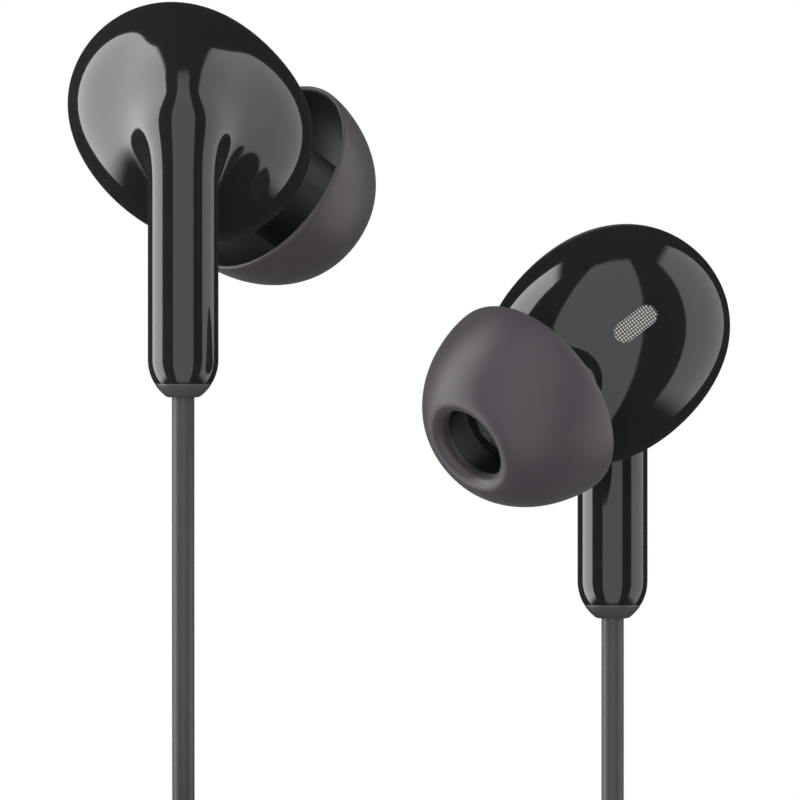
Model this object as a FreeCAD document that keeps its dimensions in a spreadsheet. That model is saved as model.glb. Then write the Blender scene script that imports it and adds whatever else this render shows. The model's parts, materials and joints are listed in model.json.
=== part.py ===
import FreeCAD, Part
import math
import os
import Sketcher

# A pair of wired in-ear earphones with bean-shaped buds, a Y-shaped cord and a 3.5 mm plug. Both buds have
# the same shape: the left one shows its outer face to the front (-Y), the right one is turned half round
# about the vertical. +Z is up. The origin is the middle of the left ear tip's mouth.
#
# A bud is drawn in its own frame, whose origin is at the lower end of the stem, below its axis and in the
# plane where the two shells meet: +X towards the nozzle, +Y towards the ear, +Z up the stem.

os.makedirs("parts", exist_ok=True)
doc = FreeCAD.newDocument("earphones")
Vector = FreeCAD.Vector
Rotation = FreeCAD.Rotation
Placement = FreeCAD.Placement
FRONT = Vector(0, 1, 0)
UP = Vector(0, 0, 1)

# ---- driving dimensions, millimetres and degrees ----------------------------------------------------------

SIZES = {
    # shells of a bud: an oval in the X-Z plane that leans towards the nozzle
    "oval_x": 0.27, "oval_z": 17.8, "oval_long": 8.15, "oval_short": 7.1, "oval_lean": 40.7,
    "front_depth": 5.3, "rear_depth": 6.2, "shell_wall": 0.9,
    "ridge_x": 4.1, "ridge_z": 7.2, "ridge_depth": 8.5, "lip_depth": 0.7, "lip_root": 0.3, "lip_wall": 0.4,
    "rebate": 0.25, "lip_gap": 0.05,
    # stem, its end bush and what holds the cord in it
    "stem_radius": 2.27, "stem_set": 7.0, "right_across": 27.7, "right_drop": 14.32, "stem_seam": 0.84, "stem_seam_radius": 1.86, "stem_round": 2.4,
    "stem_top": 19.4, "stem_tip": 22.4, "stem_bore": 1.3, "stem_bore_top": 17.0, "bush_spigot": 3.0,
    "bush_hole": 0.76, "bush_nose_radius": 1.1, "bush_curve": 1.25, "crimp_radius": 1.15, "crimp_top": 5.6,
    # nozzle and ear tip, along the nozzle's axis from the middle of the tip's rim
    "rim_x": 5.55, "rim_y": 5.3, "rim_z": 13.98, "nozzle_turn": 41.3, "nozzle_dip": 29.3,
    "tip_radius": 6.65, "tip_mouth": 5.9, "tip_mouth_radius": 3.75, "tip_lip": 0.5, "tip_bore": 2.74,
    "tip_tube": 3.3, "tip_base": 0.45, "tip_edge": 0.3, "tip_inner": 6.2, "tip_web": 4.95,
    "tip_crest": 5.49, "tip_lip_curve": 0.75,
    "bore_start": 5.5, "nozzle_end": 3.2, "nozzle_radius": 2.5, "nozzle_bore": 1.85, "nozzle_rib": 2.65,
    "rib_back": 2.0, "rib_front": 2.75, "neck_start": 2.6, "neck_end": 0.6, "neck_radius": 4.2,
    "shoulder_radius": 3.3, "mesh_radius": 2.1, "mesh_depth": 0.25,
    # vent in the front shell
    "vent_x": -1.47, "vent_z": 19.1, "vent_lean": 37.0, "vent_long": 3.5, "vent_wide": 1.5, "vent_step": 0.3,
    "vent_seat": 4.75, "vent_mesh": 0.25, "vent_cut": 2.0,
    # ten-millimetre driver, along the ear direction from the plane where the shells meet
    "driver_radius": 5.0, "basket_wall": 0.4, "basket_back": 1.4, "basket_floor": 0.4, "basket_front": 0.9,
    "yoke_radius": 3.55, "yoke_wall": 0.45, "yoke_back": 3.2, "yoke_floor": 0.4, "yoke_front": 0.6,
    "magnet_radius": 2.55, "plate_depth": 0.5, "coil_inner": 2.7, "coil_outer": 2.95, "coil_back": 1.8,
    "diaphragm_radius": 4.4, "diaphragm_sheet": 0.08, "dome_rise": 0.4, "dome_crown": 1.2,
    "roll_curve": 0.85, "cap_depth": 0.2, "cap_hole": 0.45, "cap_ring": 2.9, "cap_holes": 6,
    "seat_depth": 0.6, "seat_radius": 6.3, "seat_hole": 4.4, "board_wide": 4.4, "board_high": 1.8, "board_depth": 0.4, "wire_radius": 0.25,
    "wire_gap": 0.45, "wire_rise": 14.6, "solder_gap": 0.16,
    # cords, and the ring that the spare cord is coiled into
    "branch_diameter": 1.45, "main_diameter": 2.0, "ring_x": 4.4, "ring_y": 14.0, "ring_inner": 8.0,
    "ring_outer": 15.5, "branch_inner": 11.6, "floor_z": -61.0, "main_layers": 4, "branch_layers": 2,
    # splitter, plug and tie
    "splitter_radius": 2.6, "splitter_neck": 1.8, "splitter_length": 15.0, "splitter_round": 0.7,
    "splitter_x": -3.0, "splitter_y": 34.0,
    "pin_radius": 1.75, "sleeve_root": 1.55, "sleeve_bore": 1.35, "ring_tube": 1.05, "band_tube": 0.75, "core_radius": 0.45,
    "pin_root": 2.5, "sleeve_length": 8.0, "band_length": 0.6, "ring_length": 1.8, "tip_point": 3.0,
    "tip_waist": 1.3, "tip_neck": 0.5, "tip_flat": 0.55, "grip_radius": 3.4, "grip_length": 17.0,
    "grip_round": 0.9, "relief_length": 8.0, "relief_radius": 2.2, "relief_end": 1.5, "relief_hole": 1.1,
    "plug_x": 22.6, "plug_y": 10.0, "tie_wall": 0.5, "tie_wide": 3.0, "tie_gap": 0.4, "tie_turn": -45.0,
}

sheet = doc.addObject("Spreadsheet::Sheet", "Sheet")
for row, (alias, number) in enumerate(SIZES.items(), 1):
    sheet.set(f"A{row}", alias)
    sheet.set(f"B{row}", str(number))
    sheet.setAlias(f"B{row}", alias)
doc.recompute()


def value(total):
    """The number that a sum of sheet names comes to, such as 'yoke_radius - yoke_wall'."""
    amount = 0.0
    sign = 1.0
    for word in total.split():
        if word in "+-":
            sign = 1.0 if word == "+" else -1.0
        else:
            amount += sign * (SIZES[word] if word in SIZES else float(word))
    return amount


def bound(total):
    """The same sum as an expression that reads the sheet."""
    return " ".join("Sheet." + word if word in SIZES else word for word in total.split())


def bind(thing, **sums):
    """Bind properties of an object to sums of sheet names."""
    for name, total in sums.items():
        thing.setExpression(name, bound(total))


def role(body, name):
    """One of a body's own origin planes or axes."""
    return next(item for item in body.Origin.OriginFeatures if item.Role == name)


def sketch_on(body, plane, offset=None):
    """An empty sketch on one of the body's origin planes."""
    sketch = body.newObject("Sketcher::SketchObject", "Sketch")
    sketch.AttachmentSupport = (role(body, plane), "")
    sketch.MapMode = "FlatFace"
    if offset:
        sketch.AttachmentOffset.Base.z = value(offset)
        sketch.setExpression("AttachmentOffset.Base.z", bound(offset))
    return sketch


def hold_point(sketch, edge, end, across, up):
    """Hold one end of an edge at two sums of sheet names, measured from the sketch's origin."""
    for kind, total, axis in (("DistanceX", across, -2), ("DistanceY", up, -1)):
        if total == "0":
            sketch.addConstraint(Sketcher.Constraint("PointOnObject", edge, end, axis))
        else:
            place = sketch.addConstraint(Sketcher.Constraint(kind, -1, 1, edge, end, value(total)))
            sketch.setExpression(f"Constraints[{place}]", bound(total))


def outline(sketch, corners):
    """A closed outline. A corner is (across, up), or (across, up, radius) where the edge that leaves it is
    an arc: a radius with a minus bulges to the right of the way along."""
    spots = [Vector(value(corner[0]), value(corner[1]), 0) for corner in corners]
    # an arc is stored anticlockwise, so one that bulges to the left begins at its second end
    begins = [2 if len(corner) == 3 and value(corner[2]) > 0 else 1 for corner in corners]
    for i, corner in enumerate(corners):
        start = spots[i]
        end = spots[(i + 1) % len(spots)]
        if len(corner) == 2:
            sketch.addGeometry(Part.LineSegment(start, end))
            continue
        size = value(corner[2])
        chord = end - start
        rise = abs(size) - math.sqrt(size * size - (chord.Length / 2) ** 2)
        left = Vector(-chord.y, chord.x, 0).normalize()
        crown = (start + end) / 2 + left * math.copysign(rise, size)
        sketch.addGeometry(Part.Arc(start, crown, end))
        curve = sketch.addConstraint(Sketcher.Constraint("Radius", i, abs(size)))
        sketch.setExpression(f"Constraints[{curve}]", bound(corner[2].lstrip("- ")))
    for i, corner in enumerate(corners):
        last = (i - 1) % len(corners)
        sketch.addConstraint(Sketcher.Constraint("Coincident", last, 3 - begins[last], i, begins[i]))
        hold_point(sketch, i, begins[i], corner[0], corner[1])


def turned(feature, body, profile):
    """A Revolution or Groove of a sketch once round the sketch's own vertical axis."""
    made = body.newObject("PartDesign::" + feature, feature)
    made.Profile = profile
    made.ReferenceAxis = (profile, ["V_Axis"])
    made.Angle = 360
    profile.Visibility = False
    return made


def lathe(label, place, corners):
    """A round piece about its own Z: corners are (radius, height) sums of sheet names."""
    body = doc.addObject("PartDesign::Body", label)
    sketch = sketch_on(body, "XZ_Plane")
    outline(sketch, corners)
    turned("Revolution", body, sketch)
    body.Label = label
    body.Placement = place
    return body


def ring_corners(inner, outer, low, high):
    """The four corners of a plain ring's section."""
    return [(inner, low), (outer, low), (outer, high), (inner, high)]


def oval(body, feature, name, place, across, along, deep, front):
    """Half an ellipsoid added to or taken from a body: flat on the X-Z plane, its pole towards +Y or -Y."""
    part = body.newObject("PartDesign::" + feature, name)
    part.Placement = place
    bind(part, Radius1=deep, Radius2=across, Radius3=along)
    part.Angle1 = 0 if front else -90
    part.Angle2 = 90 if front else 0
    part.Angle3 = 360
    return part


# ---- places -----------------------------------------------------------------------------------------------

nozzle_turn = math.radians(value("nozzle_turn"))
nozzle_dip = math.radians(value("nozzle_dip"))
NOZZLE = Vector(
    math.cos(nozzle_dip) * math.cos(nozzle_turn),
    math.cos(nozzle_dip) * math.sin(nozzle_turn),
    -math.sin(nozzle_dip),
)
RIM = Vector(value("rim_x"), value("rim_y"), value("rim_z"))
MOUTH = RIM + NOZZLE * value("tip_mouth")
# the right bud hangs beside the left one and lower
RIGHT_STEM = Vector(value("right_across"), 0, -value("right_drop"))

LEFT = Placement(-MOUTH, Rotation())
RIGHT = Placement(RIGHT_STEM - MOUTH, Rotation(UP, 180))
BUDS = {"left": LEFT, "right": RIGHT}

TO_FRONT = Rotation(Vector(1, 0, 0), -90)
NOZZLE_PLACE = Placement(RIM, Rotation(UP, NOZZLE))
STEM_PLACE = Placement(Vector(0, -value("stem_set"), 0), Rotation())
DRIVER_PLACE = Placement(Vector(value("oval_x"), 0, value("oval_z")), TO_FRONT)

# an ellipsoid's own Z becomes the ear direction, and its own X the oval's long axis
lean = math.radians(value("oval_lean"))
LONG_AXIS = Vector(math.cos(lean), 0, -math.sin(lean))
OVAL_TURN = Rotation(LONG_AXIS, FRONT.cross(LONG_AXIS), FRONT, "ZXY")
OVAL_PLACE = Placement(Vector(value("oval_x"), 0, value("oval_z")), OVAL_TURN)
RIDGE_PLACE = Placement(Vector(0, 0, value("oval_z")), TO_FRONT)


# ---- shells -----------------------------------------------------------------------------------------------

def oval_ring(body, plane_offset, grow, wall):
    """A sketch of the shells' oval, or of a ring inside it, seen along the ear direction."""
    sketch = sketch_on(body, "XZ_Plane", plane_offset)
    middle = Vector(value("oval_x"), value("oval_z"), 0)
    long_way = Vector(LONG_AXIS.x, LONG_AXIS.z, 0)
    short_way = Vector(-long_way.y, long_way.x, 0)
    for inset in (0.0, value(wall)) if wall else (0.0,):
        long_end = middle + long_way * (value("oval_long") - value("shell_wall") + value(grow) - inset)
        short_end = middle + short_way * (value("oval_short") - value("shell_wall") + value(grow) - inset)
        sketch.addGeometry(Part.Ellipse(long_end, short_end, middle))
    return sketch


def extruded(body, feature, profile, length, backward=False):
    """A Pad or a Pocket of a sketch."""
    made = body.newObject("PartDesign::" + feature, feature)
    made.Profile = profile
    bind(made, Length=length)
    made.Reversed = backward
    profile.Visibility = False
    return made


def rear_shell(label, bud):
    """The outer face and the stem in one moulding: a shallow bowl whose ridge swells out into the stem."""
    body = doc.addObject("PartDesign::Body", label)
    oval(body, "AdditiveEllipsoid", "Bowl", OVAL_PLACE, "oval_long", "oval_short", "rear_depth", False)
    oval(body, "AdditiveEllipsoid", "Ridge", RIDGE_PLACE, "ridge_x", "ridge_z", "ridge_depth", False)
    stem = sketch_on(body, "XZ_Plane", "stem_set")
    outline(stem, [
        ("0", "stem_seam"), ("stem_seam_radius", "stem_seam"), ("stem_radius", "stem_round"),
        ("stem_radius", "stem_top"), ("0", "stem_tip"),
    ])
    turned("Revolution", body, stem)
    inner = ("oval_long - shell_wall", "oval_short - shell_wall", "rear_depth - shell_wall")
    oval(body, "SubtractiveEllipsoid", "Inside", OVAL_PLACE, *inner, False)
    inner = ("ridge_x - shell_wall", "ridge_z - shell_wall", "ridge_depth - shell_wall - shell_wall")
    oval(body, "SubtractiveEllipsoid", "RidgeInside", RIDGE_PLACE, *inner, False)
    rebate = oval_ring(body, "lip_depth + lip_gap", "rebate", None)
    extruded(body, "Pocket", rebate, "lip_depth + lip_gap + lip_gap")
    bore = sketch_on(body, "XZ_Plane", "stem_set")
    outline(bore, [("0", "stem_seam"), ("stem_bore", "stem_seam"), ("stem_bore", "stem_bore_top"),
                   ("0", "stem_bore_top")])
    turned("Groove", body, bore)
    body.Label = label
    body.Placement = bud
    return body


def on_nozzle(body, feature, corners):
    """A round feature about the nozzle's axis: corners are (radius, distance from the rim's middle)."""
    sketch = body.newObject("Sketcher::SketchObject", "NozzleSketch")
    sketch.Placement = NOZZLE_PLACE.multiply(Placement(Vector(), Rotation(Vector(1, 0, 0), 90)))
    outline(sketch, corners)
    return turned(feature, body, sketch)


def slot(body, offset, long, wide):
    """A slot-shaped sketch that lies over the vent."""
    sketch = sketch_on(body, "XZ_Plane", offset)
    middle = Vector(value("vent_x"), value("vent_z"), 0)
    lean_angle = math.radians(value("vent_lean"))
    along = Vector(math.cos(lean_angle), -math.sin(lean_angle), 0)
    side = Vector(-along.y, along.x, 0) * value(wide) / 2
    straight = along * (value(long) - value(wide)) / 2
    tips = straight + along * value(wide) / 2
    sketch.addGeometry(Part.LineSegment(middle - straight - side, middle + straight - side))
    sketch.addGeometry(Part.Arc(middle + straight - side, middle + tips, middle + straight + side))
    sketch.addGeometry(Part.LineSegment(middle + straight + side, middle - straight + side))
    sketch.addGeometry(Part.Arc(middle - straight + side, middle - tips, middle - straight - side))
    return sketch


def front_shell(label, bud):
    """The ear side: a bowl with a seat for the driver, a lip into the rear shell, the nozzle and a vent."""
    body = doc.addObject("PartDesign::Body", label)
    oval(body, "AdditiveEllipsoid", "Bowl", OVAL_PLACE, "oval_long", "oval_short", "front_depth", True)
    on_nozzle(body, "Revolution", [
        ("0", "- neck_start"), ("neck_radius", "- neck_start"), ("shoulder_radius", "- neck_end"),
        ("nozzle_radius", "- neck_end"), ("nozzle_radius", "rib_back"), ("nozzle_rib", "rib_back + tip_edge"),
        ("nozzle_rib", "rib_front"), ("nozzle_radius", "rib_front + tip_edge"),
        ("nozzle_radius", "nozzle_end"), ("0", "nozzle_end"),
    ])
    inner = ("oval_long - shell_wall", "oval_short - shell_wall", "front_depth - shell_wall")
    oval(body, "SubtractiveEllipsoid", "Inside", OVAL_PLACE, *inner, True)
    seat = body.newObject("Sketcher::SketchObject", "SeatSketch")
    seat.Placement = DRIVER_PLACE.multiply(Placement(Vector(), Rotation(Vector(1, 0, 0), 90)))
    outline(seat, ring_corners("seat_hole", "seat_radius", "basket_front + cap_depth",
                               "basket_front + cap_depth + seat_depth"))
    turned("Revolution", body, seat)
    lip = oval_ring(body, "lip_depth", "rebate - lip_gap", "lip_wall")
    extruded(body, "Pad", lip, "lip_depth + lip_root", True)
    on_nozzle(body, "Groove", [("0", "- bore_start"), ("nozzle_bore", "- bore_start"),
                               ("nozzle_bore", "nozzle_end - mesh_depth"),
                               ("mesh_radius", "nozzle_end - mesh_depth"), ("mesh_radius", "nozzle_end"),
                               ("0", "nozzle_end")])
    extruded(body, "Pocket", slot(body, "- vent_seat", "vent_long", "vent_wide"), "vent_cut")
    through = slot(body, "vent_cut - vent_seat", "vent_long - vent_step - vent_step",
                   "vent_wide - vent_step - vent_step")
    extruded(body, "Pocket", through, "vent_cut + vent_cut")
    body.Label = label
    body.Placement = bud
    return body


def vent_mesh(label, bud):
    """The woven mesh that sits in the vent's step."""
    body = doc.addObject("PartDesign::Body", label)
    extruded(body, "Pad", slot(body, "- vent_seat", "vent_long", "vent_wide"), "vent_mesh", True)
    body.Label = label
    body.Placement = bud
    return body


def shells(side, bud):
    """The moulded pieces of one bud, its meshes and its ear tip."""
    rear_shell(side + "_rear_shell", bud)
    front_shell(side + "_front_shell", bud)
    vent_mesh(side + "_vent_mesh", bud)
    nozzle = bud.multiply(NOZZLE_PLACE)
    lathe(side + "_nozzle_mesh", nozzle,
          [("0", "nozzle_end - mesh_depth"), ("mesh_radius", "nozzle_end - mesh_depth"),
           ("mesh_radius", "nozzle_end"), ("0", "nozzle_end")])
    # the silicone tip: a dome that turns in at its mouth into the tube that grips the nozzle
    lathe(side + "_eartip", nozzle, [
        ("tip_bore", "- tip_base"), ("tip_tube", "- tip_base"), ("tip_tube", "tip_web", "tip_inner"),
        ("tip_inner", "- tip_edge"), ("tip_radius", "- tip_edge", "- tip_radius"),
        ("tip_mouth_radius", "tip_crest", "- tip_lip_curve"), ("tip_bore", "tip_mouth - tip_lip"),
    ])
    stem = bud.multiply(STEM_PLACE)
    lathe(side + "_stem_bush", stem, [
        ("bush_hole", "0"), ("bush_nose_radius", "0", "- bush_curve"), ("stem_seam_radius", "stem_seam"),
        ("stem_bore", "stem_seam"), ("stem_bore", "bush_spigot"), ("bush_hole", "bush_spigot"),
    ])
    lathe(side + "_cord_crimp", stem, [("0", "bush_spigot"), ("crimp_radius", "bush_spigot"),
                                       ("crimp_radius", "crimp_top"), ("0", "crimp_top")])


# ---- driver -----------------------------------------------------------------------------------------------

def driver_cap(label, place):
    """The thin steel cap over the diaphragm: a middle hole and a ring of holes."""
    body = lathe(label, place, ring_corners("cap_hole", "driver_radius", "basket_front",
                                            "basket_front + cap_depth"))
    doc.recompute()
    hole = sketch_on(body, "XY_Plane", "basket_front")
    hole.addGeometry(Part.Circle(Vector(value("cap_ring"), 0, 0), UP, value("cap_hole")))
    radius = hole.addConstraint(Sketcher.Constraint("Radius", 0, value("cap_hole")))
    hole.setExpression(f"Constraints[{radius}]", bound("cap_hole"))
    hold_point(hole, 0, 3, "cap_ring", "0")
    pocket = extruded(body, "Pocket", hole, "cap_depth", True)
    around = body.newObject("PartDesign::PolarPattern", "Holes")
    around.Originals = [pocket]
    around.Axis = (role(body, "Z_Axis"), [""])
    around.Angle = 360
    bind(around, Occurrences="cap_holes")
    body.Tip = around
    return body


def driver(side, bud):
    """A ten-millimetre moving-coil driver that faces the ear, with the board its leads are soldered to."""
    place = bud.multiply(DRIVER_PLACE)
    lathe(side + "_driver_basket", place, [
        ("yoke_radius", "- basket_back"), ("driver_radius", "- basket_back"),
        ("driver_radius", "basket_front"), ("driver_radius - basket_wall", "basket_front"),
        ("driver_radius - basket_wall", "basket_floor - basket_back"),
        ("yoke_radius", "basket_floor - basket_back"),
    ])
    lathe(side + "_driver_yoke", place, [
        ("0", "- yoke_back"), ("yoke_radius", "- yoke_back"), ("yoke_radius", "- yoke_front"),
        ("yoke_radius - yoke_wall", "- yoke_front"),
        ("yoke_radius - yoke_wall", "yoke_floor - yoke_back"), ("0", "yoke_floor - yoke_back"),
    ])
    lathe(side + "_driver_magnet", place, [
        ("0", "yoke_floor - yoke_back"), ("magnet_radius", "yoke_floor - yoke_back"),
        ("magnet_radius", "- yoke_front - plate_depth"), ("0", "- yoke_front - plate_depth"),
    ])
    lathe(side + "_driver_plate", place, [
        ("0", "- yoke_front - plate_depth"), ("magnet_radius", "- yoke_front - plate_depth"),
        ("magnet_radius", "- yoke_front"), ("0", "- yoke_front"),
    ])
    lathe(side + "_voice_coil", place, ring_corners("coil_inner", "coil_outer", "- coil_back", "0"))
    # the diaphragm: a dome with a flat crown inside the coil, and a rolled edge outside it
    lathe(side + "_diaphragm", place, [
        ("0", "dome_rise"), ("dome_crown", "dome_rise"), ("coil_outer", "0", "roll_curve"),
        ("diaphragm_radius", "0"), ("diaphragm_radius", "diaphragm_sheet", "- roll_curve"),
        ("coil_outer", "diaphragm_sheet"), ("dome_crown", "dome_rise + diaphragm_sheet"),
        ("0", "dome_rise + diaphragm_sheet"),
    ])
    driver_cap(side + "_driver_cap", place)
    board = doc.addObject("Part::Box", side + "_terminal_board")
    board.Label = side + "_terminal_board"
    bind(board, Length="board_wide", Width="board_high", Height="board_depth")
    corner = Vector(-value("board_wide") / 2, -value("board_high") / 2, -value("yoke_back + board_depth"))
    board.Placement = place.multiply(Placement(corner, Rotation()))


# ---- cords ------------------------------------------------------------------------------------------------

ARC_SHARE = 0.45    # how much of the shorter run beside it each arc of a cord takes up


def rounded_path(points):
    """Straight runs joined by tangent arcs, each arc as large as its two runs allow, and the arcs' radii."""
    edges = []
    radii = []
    last = points[0]
    for before, corner, after in zip(points, points[1:], points[2:]):
        inward = (before - corner).normalize()
        outward = (after - corner).normalize()
        half_turn = (math.pi - inward.getAngle(outward)) / 2
        trim = ARC_SHARE * min((before - corner).Length, (after - corner).Length)
        radius = trim / math.tan(half_turn)
        radii.append(radius)
        enter = corner + inward * trim
        leave = corner + outward * trim
        bisector = (inward + outward).normalize()
        crown = corner + bisector * (radius / math.cos(half_turn) - radius)
        edges.append(Part.LineSegment(last, enter).toShape())
        edges.append(Part.Arc(enter, crown, leave).toShape())
        last = leave
    edges.append(Part.LineSegment(last, points[-1]).toShape())
    return Part.Wire(edges), radii


def tube(label, points, radius):
    """A cord's tube along the rounded path through its route's points."""
    path, radii = rounded_path(points)
    section = Part.Circle(points[0], points[1] - points[0], radius).toShape()
    solid = path.makePipeShell([Part.Wire(section)], True, False)
    ratio = solid.Volume / (math.pi * radius ** 2 * path.Length)
    print(f"{label}: {path.Length:.1f} mm long, volume / (section x length) {ratio:.3f}, arc radii",
          ", ".join(f"{r:.1f}" for r in radii))
    return solid


def cord(label, points, radius):
    """A cord's tube as a node of its own."""
    feature = doc.addObject("Part::Feature", label)
    feature.Shape = tube(label, points, radius)
    feature.Label = label
    return feature


def core_wires(side, bud):
    """The two insulated conductors between the crimp and the terminal board."""
    solids = []
    for across in (-value("wire_gap"), value("wire_gap")):
        points = [
            Vector(across, -value("stem_set"), value("crimp_top")),
            Vector(across, -value("stem_set"), value("wire_rise")),
            Vector(across + value("oval_x"), -value("yoke_back + board_depth + solder_gap"), value("oval_z")),
        ]
        solids.append(tube(side + "_core_wire", points, value("wire_radius")))
    feature = doc.addObject("Part::Feature", side + "_core_wires")
    feature.Shape = Part.makeCompound(solids)
    feature.Label = side + "_core_wires"
    feature.Placement = bud


for side, bud in BUDS.items():
    shells(side, bud)
    driver(side, bud)
    core_wires(side, bud)

# The spare cord is coiled into one flat ring below the buds, in layers: four of the main cord, then two of
# each branch. Routes are the points of a hand-laid line, each in millimetres.
MAIN_RADIUS = value("main_diameter") / 2
BRANCH_RADIUS = value("branch_diameter") / 2

ROUTES = {
    "left_lead": [(-9.415, -15.696, -8.1), (-9.415, -15.696, -40.5), (-10.6, 14.4, -47.6),
                  (-9.9, 17.8, -47.9)],
    "left_tail": [(-9.9, 10.2, -49.3), (-12.3, 18.4, -49.4), (-13.8, 27.4, -53.4), (-10.6, 34.9, -58.4),
                  (-3.0, 34.9, -58.4)],
    "right_lead": [(18.285, -1.696, -22.42), (18.285, -1.696, -44.5), (0.9, -3.0, -50.95),
                   (-4.1, 1.9, -51.0)],
    "right_tail": [(-10.4, 13.6, -52.1), (-11.0, 21.8, -52.15), (-12.4, 27.0, -55.4), (-9.5, 33.1, -58.4),
                   (-3.0, 33.1, -58.4)],
    "main_head": [(12.0, 34.0, -58.4), (19.2, 34.0, -58.4), (23.4, 28.2, -56.2), (22.1, 21.2, -54.2),
                  (18.7, 14.9, -54.0)],
    "main_tail": [(11.7, 26.5, -60.0), (18.0, 25.2, -60.0), (22.5, 19.2, -58.2), (22.6, 10.6, -57.6),
                  (22.6, 2.0, -57.6)],
}

for name, places in ROUTES.items():
    radius = MAIN_RADIUS if name.startswith("main") else BRANCH_RADIUS
    cord(name, [Vector(*place) for place in places], radius)


# ---- coils, splitter, plug and tie ------------------------------------------------------------------------

def coil(label, inner, base, diameter, layers):
    """The outer shape of one cord's coil: a flat ring in the stack. Gives the height of its top."""
    body = doc.addObject("PartDesign::Body", label)
    section = sketch_on(body, "XY_Plane")
    for number, name in enumerate((inner, "ring_outer")):
        section.addGeometry(Part.Circle(Vector(), UP, value(name)))
        section.addConstraint(Sketcher.Constraint("Coincident", number, 3, -1, 1))
        radius = section.addConstraint(Sketcher.Constraint("Radius", number, value(name)))
        section.setExpression(f"Constraints[{radius}]", bound(name))
    pad = extruded(body, "Pad", section, diameter)
    pad.setExpression("Length", f"{bound(diameter)} * {bound(layers)}")
    body.Label = label
    body.Placement = Placement(Vector(value("ring_x"), value("ring_y"), base), Rotation())
    return base + value(diameter) * value(layers)


main_top = coil("main_coil", "ring_inner", value("floor_z"), "main_diameter", "main_layers")
right_top = coil("right_coil", "branch_inner", main_top, "branch_diameter", "branch_layers")
left_top = coil("left_coil", "branch_inner", right_top, "branch_diameter", "branch_layers")


def coil_tie():
    """A flat strap once round the stack of coils: a box with a box-shaped hole."""
    gap = value("tie_gap")
    wall = value("tie_wall")
    radial = "Sheet.ring_outer - Sheet.ring_inner + 2 * Sheet.tie_gap"
    upright = ("Sheet.main_diameter * Sheet.main_layers + 2 * Sheet.branch_diameter * Sheet.branch_layers"
               " + 2 * Sheet.tie_gap")
    body = doc.addObject("PartDesign::Body", "coil_tie")
    for feature, margin, grow in (("AdditiveBox", wall, " + 2 * Sheet.tie_wall"), ("SubtractiveBox", 0, "")):
        box = body.newObject("PartDesign::" + feature, feature)
        box.Placement.Base = Vector(value("ring_inner") - gap - margin, -value("tie_wide") / 2, -gap - margin)
        box.setExpression("Length", radial + grow)
        box.setExpression("Height", upright + grow)
        bind(box, Width="tie_wide")
    body.Placement = Placement(Vector(value("ring_x"), value("ring_y"), value("floor_z")),
                               Rotation(UP, value("tie_turn")))
    body.Label = "coil_tie"


coil_tie()

# the Y moulding: the two branches enter its wide flat end side by side, and the main cord leaves the other
splitter_end = Vector(value("splitter_x"), value("splitter_y"), value("floor_z") + value("splitter_radius"))
lathe("splitter", Placement(splitter_end, Rotation(UP, Vector(1, 0, 0))), [
    ("0", "0"), ("splitter_radius - splitter_round", "0", "- splitter_round"),
    ("splitter_radius", "splitter_round"), ("splitter_neck", "splitter_length - splitter_round",
                                            "- splitter_round"),
    ("splitter_neck - splitter_round", "splitter_length"), ("0", "splitter_length"),
])


def plug():
    """A three-pole 3.5 mm plug: each pole is a tube round the next, with an insulating band between them.
    Its own Z points out of the grip along the pin."""
    front = Vector(value("plug_x"), value("plug_y") - value("relief_length") - value("grip_length"),
                   value("floor_z") + value("grip_radius"))
    place = Placement(front, Rotation(UP, Vector(0, -1, 0)))
    ring_back = "sleeve_length + band_length"
    ring_front = ring_back + " + ring_length"
    tip_back = ring_front + " + band_length"
    tip_neck = tip_back + " + tip_neck"
    grip_back = "- grip_length"
    lathe("plug_sleeve", place, [
        ("sleeve_bore", "- pin_root"), ("sleeve_root", "- pin_root"), ("sleeve_root", "0"),
        ("pin_radius", "0"), ("pin_radius", "sleeve_length"), ("sleeve_bore", "sleeve_length"),
    ])
    lathe("plug_outer_band", place, [
        ("ring_tube", "- pin_root"), ("sleeve_bore", "- pin_root"), ("sleeve_bore", "sleeve_length"),
        ("pin_radius", "sleeve_length"), ("pin_radius", ring_back), ("ring_tube", ring_back),
    ])
    lathe("plug_ring", place, [
        ("band_tube", "- pin_root"), ("ring_tube", "- pin_root"), ("ring_tube", ring_back),
        ("pin_radius", ring_back), ("pin_radius", ring_front), ("band_tube", ring_front),
    ])
    lathe("plug_inner_band", place, [
        ("core_radius", "- pin_root"), ("band_tube", "- pin_root"), ("band_tube", ring_front),
        ("pin_radius", ring_front), ("pin_radius", tip_back), ("core_radius", tip_back),
    ])
    lathe("plug_tip", place, [
        ("0", "- pin_root"), ("core_radius", "- pin_root"), ("core_radius", tip_back),
        ("pin_radius", tip_back), ("tip_waist", tip_neck), ("pin_radius", tip_neck + " + tip_neck"),
        ("tip_flat", tip_back + " + tip_point"), ("0", tip_back + " + tip_point"),
    ])
    lathe("plug_grip", place, [
        ("sleeve_root", "- pin_root"), ("sleeve_root", "0"), ("grip_radius - grip_round", "0", "grip_round"),
        ("grip_radius", "- grip_round"), ("grip_radius", grip_back + " + grip_round", "grip_round"),
        ("grip_radius - grip_round", grip_back), ("0", grip_back), ("0", "- pin_root"),
    ])
    lathe("plug_relief", place, [
        ("relief_hole", grip_back), ("relief_radius", grip_back),
        ("relief_end", grip_back + " - relief_length"), ("relief_hole", grip_back + " - relief_length"),
    ])


plug()

# ---- check and write --------------------------------------------------------------------------------------

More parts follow.
